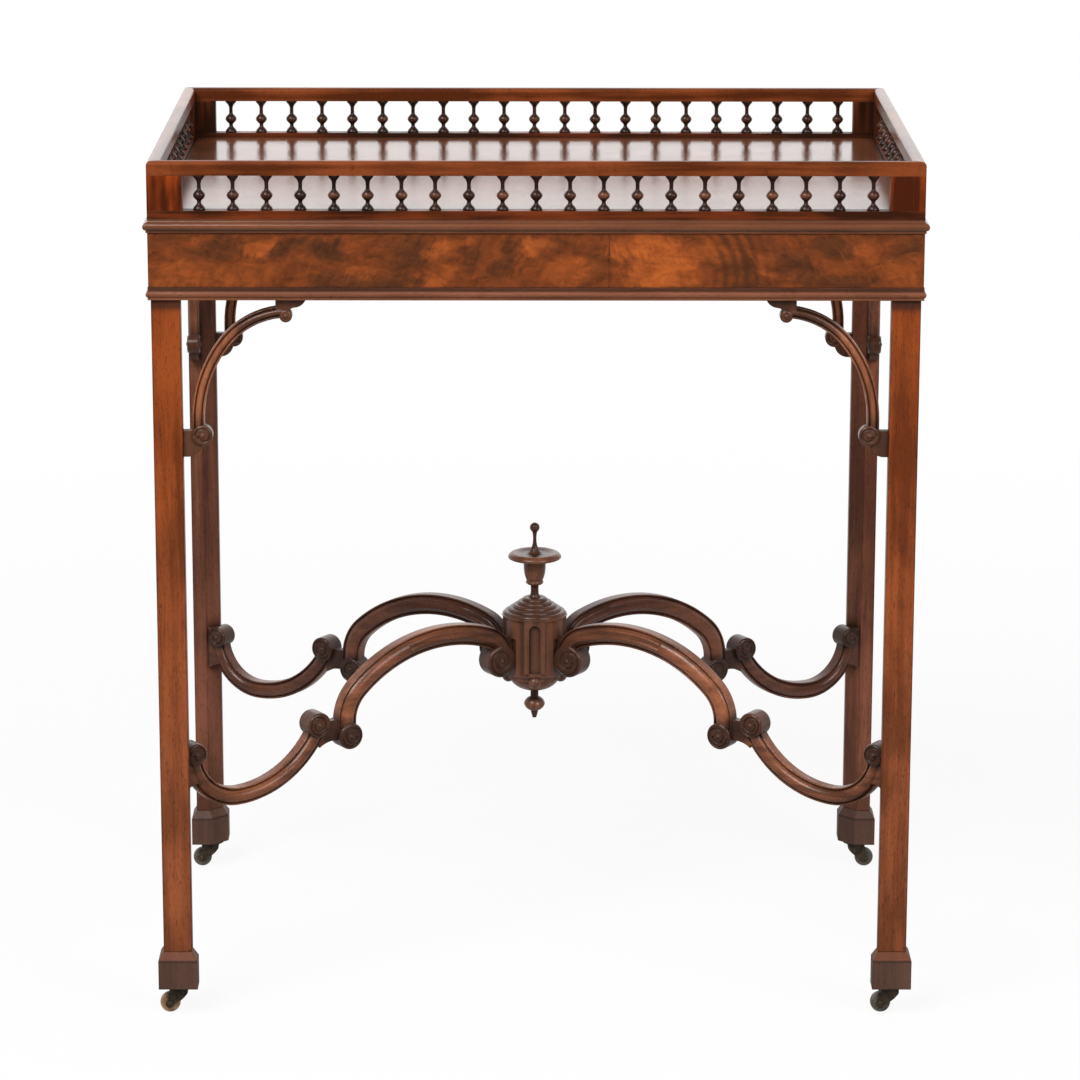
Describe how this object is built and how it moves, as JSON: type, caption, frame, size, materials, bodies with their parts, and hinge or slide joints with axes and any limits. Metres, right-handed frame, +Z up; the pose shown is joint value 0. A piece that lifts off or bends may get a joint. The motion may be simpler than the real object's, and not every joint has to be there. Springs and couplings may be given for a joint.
{
  "type": "tea table",
  "caption": "Tray-top tea table on castors: spindle gallery, veneered frieze, chamfered legs with scroll brackets and an arched cross stretcher.",
  "frame": {"origin": "on the floor under the middle of the table", "axes": "+X to the right along the long front, +Y to the back, +Z up"},
  "size_m": [0.6676, 0.4476, 0.765],
  "materials": {
    "mahogany": "French-polished straight-grained mahogany",
    "flame_veneer": "French-polished flame mahogany veneer",
    "polished_top": "French-polished plain mahogany top",
    "carved_mahogany": "waxed carved mahogany, dark in the hollows",
    "dark_mahogany": "worn dark mahogany",
    "secondary_wood": "unpolished softwood and mahogany offcuts",
    "antique_brass": "tarnished brass",
    "screw_brass": "tarnished brass"
  },
  "bodies": {
    "table": {"brackets_back": "carved_mahogany", "brackets_front": "carved_mahogany", "brackets_left": "carved_mahogany", "brackets_right": "carved_mahogany", "castor_plate_screws": "screw_brass", "castor_plates": "antique_brass", "foot_back_left": "dark_mahogany", "foot_back_right": "dark_mahogany", "foot_front_left": "dark_mahogany", "foot_front_right": "dark_mahogany", "frieze_rail_back": "secondary_wood", "frieze_rail_front": "secondary_wood", "frieze_rail_left": "secondary_wood", "frieze_rail_right": "secondary_wood", "frieze_veneer_back": "flame_veneer", "frieze_veneer_front": "flame_veneer", "frieze_veneer_left": "flame_veneer", "frieze_veneer_right": "flame_veneer", "gallery_bottom_rail_back": "mahogany", "gallery_bottom_rail_front": "mahogany", "gallery_bottom_rail_left": "mahogany", "gallery_bottom_rail_right": "mahogany", "gallery_spindles_back": "mahogany", "gallery_spindles_front": "mahogany", "gallery_spindles_left": "mahogany", "gallery_spindles_right": "mahogany", "gallery_stiles": "mahogany", "gallery_top_rail_back": "mahogany", "gallery_top_rail_front": "mahogany", "gallery_top_rail_left": "mahogany", "gallery_top_rail_right": "mahogany", "glue_blocks": "secondary_wood", "leg_back_left": "mahogany", "leg_back_right": "mahogany", "leg_front_left": "mahogany", "leg_front_right": "mahogany", "lower_moulding_back": "mahogany", "lower_moulding_front": "mahogany", "lower_moulding_left": "mahogany", "lower_moulding_right": "mahogany", "stretcher_arm_back_left": "carved_mahogany", "stretcher_arm_back_right": "carved_mahogany", "stretcher_arm_front_left": "carved_mahogany", "stretcher_arm_front_right": "carved_mahogany", "stretcher_boss": "carved_mahogany", "stretcher_finial": "carved_mahogany", "stretcher_pendant": "carved_mahogany", "top_board": "polished_top"},
    "fork_front_left": {"castor_fork_front_left": "antique_brass", "castor_axle_front_left": "antique_brass"},
    "wheel_front_left": {"castor_wheel_front_left": "antique_brass"},
    "fork_front_right": {"castor_fork_front_right": "antique_brass", "castor_axle_front_right": "antique_brass"},
    "wheel_front_right": {"castor_wheel_front_right": "antique_brass"},
    "fork_back_left": {"castor_fork_back_left": "antique_brass", "castor_axle_back_left": "antique_brass"},
    "wheel_back_left": {"castor_wheel_back_left": "antique_brass"},
    "fork_back_right": {"castor_fork_back_right": "antique_brass", "castor_axle_back_right": "antique_brass"},
    "wheel_back_right": {"castor_wheel_back_right": "antique_brass"}
  },
  "joints": [
    {"name": "swivel_front_left", "type": "hinge", "parent": "table", "child": "fork_front_left", "pos_m": [-0.3157, -0.2057, 0.024], "axis": [0, 0, 1], "continuous": true},
    {"name": "roll_front_left", "type": "hinge", "parent": "fork_front_left", "child": "wheel_front_left", "pos_m": [-0.3241, -0.2057, 0.009], "axis": [0, 1, 0], "continuous": true},
    {"name": "swivel_front_right", "type": "hinge", "parent": "table", "child": "fork_front_right", "pos_m": [0.3157, -0.2057, 0.024], "axis": [0, 0, 1], "continuous": true},
    {"name": "roll_front_right", "type": "hinge", "parent": "fork_front_right", "child": "wheel_front_right", "pos_m": [0.3073, -0.2057, 0.009], "axis": [0, 1, 0], "continuous": true},
    {"name": "swivel_back_left", "type": "hinge", "parent": "table", "child": "fork_back_left", "pos_m": [-0.3157, 0.2057, 0.024], "axis": [0, 0, 1], "continuous": true},
    {"name": "roll_back_left", "type": "hinge", "parent": "fork_back_left", "child": "wheel_back_left", "pos_m": [-0.3241, 0.2057, 0.009], "axis": [0, 1, 0], "continuous": true},
    {"name": "swivel_back_right", "type": "hinge", "parent": "table", "child": "fork_back_right", "pos_m": [0.3157, 0.2057, 0.024], "axis": [0, 0, 1], "continuous": true},
    {"name": "roll_back_right", "type": "hinge", "parent": "fork_back_right", "child": "wheel_back_right", "pos_m": [0.3241, 0.2057, 0.009], "axis": [0, 1, 0], "continuous": true}
  ]
}
